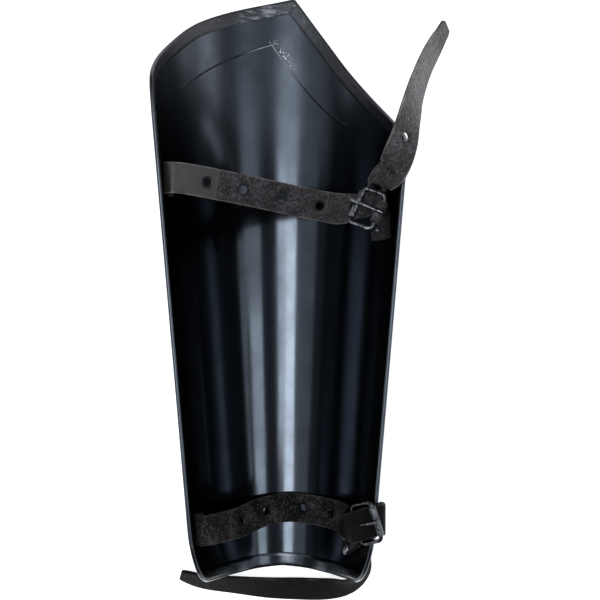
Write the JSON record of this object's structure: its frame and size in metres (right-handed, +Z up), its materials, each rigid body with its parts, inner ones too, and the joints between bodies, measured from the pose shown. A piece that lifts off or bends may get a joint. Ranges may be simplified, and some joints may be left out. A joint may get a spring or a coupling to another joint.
{
  "type": "greave",
  "caption": "Blackened steel greave with a folded hem and leather straps fastened in roller buckles, lying with its hollow up.",
  "frame": {"origin": "middle of the footprint, on the floor that the shin side lies on", "axes": "+Y from the ankle to the knee, +X across the leg towards the buckles, +Z up out of the hollow"},
  "size_m": [0.2116, 0.4394, 0.1147],
  "materials": {
    "plate": "blackened and polished steel sheet with a cool gloss; its folded hem is duller",
    "leather": "black-grey leather, rough grain, worn paler at its bends",
    "buckle_wire": "dark steel wire, half gloss",
    "rivets": "dark domed steel, half gloss"
  },
  "bodies": {
    "root": {"shin_plate": "plate", "upper_strap": "leather", "lower_strap": "leather", "upper_chape": "leather", "lower_chape": "leather", "upper_buckle_frame": "buckle_wire", "upper_buckle_roller": "buckle_wire", "upper_buckle_tongue": "buckle_wire", "lower_buckle_frame": "buckle_wire", "lower_buckle_roller": "buckle_wire", "lower_buckle_tongue": "buckle_wire", "upper_strap_rivet": "rivets", "lower_strap_rivet": "rivets", "upper_chape_rivet": "rivets", "lower_chape_rivet_1": "rivets", "lower_chape_rivet_2": "rivets"}
  },
  "joints": []
}
